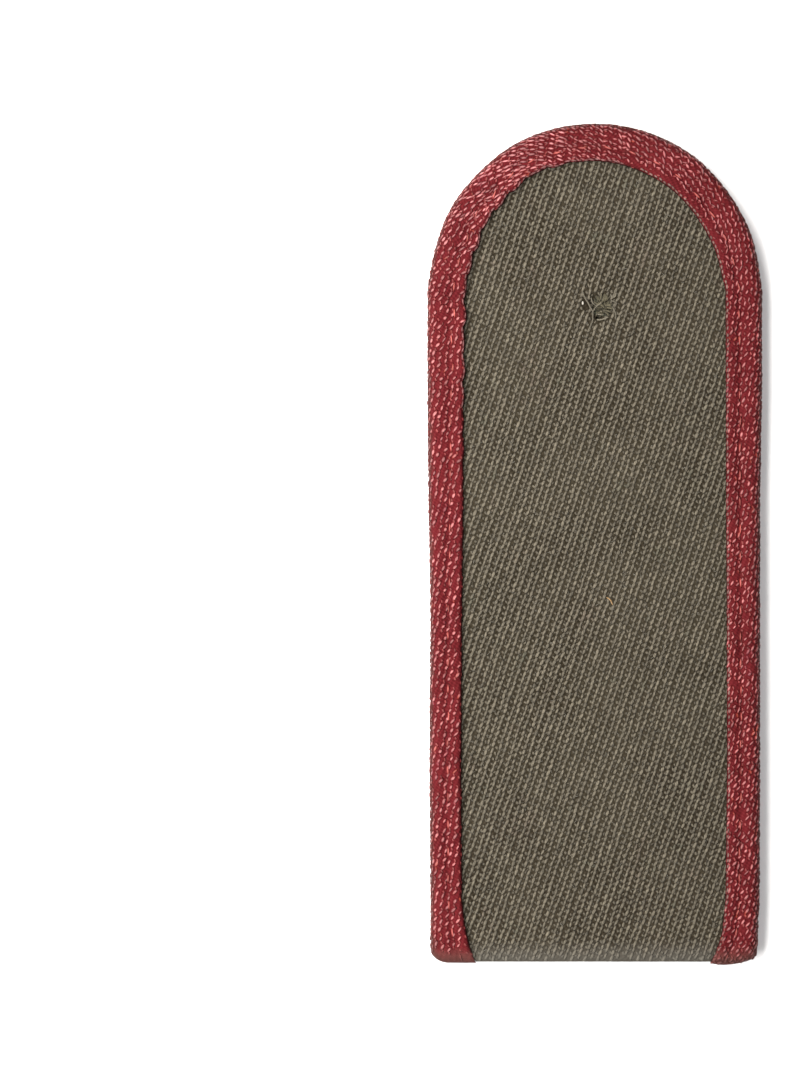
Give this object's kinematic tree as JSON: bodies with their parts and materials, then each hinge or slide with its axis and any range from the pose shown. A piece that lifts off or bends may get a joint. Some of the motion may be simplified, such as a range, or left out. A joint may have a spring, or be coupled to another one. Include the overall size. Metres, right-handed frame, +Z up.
{
  "type": "shoulder board",
  "caption": "Cloth-covered shoulder board with an arched button end, braid edging wrapped round its sides and arch, and a fastening tongue underneath.",
  "frame": {"origin": "centre of the footprint, on the surface that the board lies on", "axes": "+Y along the board towards the arched button end, +Z up out of the cloth face, +X to the right seen from above"},
  "size_m": [0.045, 0.113, 0.004],
  "materials": {
    "twill_cloth": "matt steep twill, stone grey with an olive cast",
    "red_braid": "silky crimson braid with bright floats",
    "tongue_cloth": "matt plain cloth"
  },
  "bodies": {
    "root": {"cloth_board": "twill_cloth", "edge_braid": "red_braid", "fastening_tongue": "tongue_cloth"}
  },
  "joints": []
}
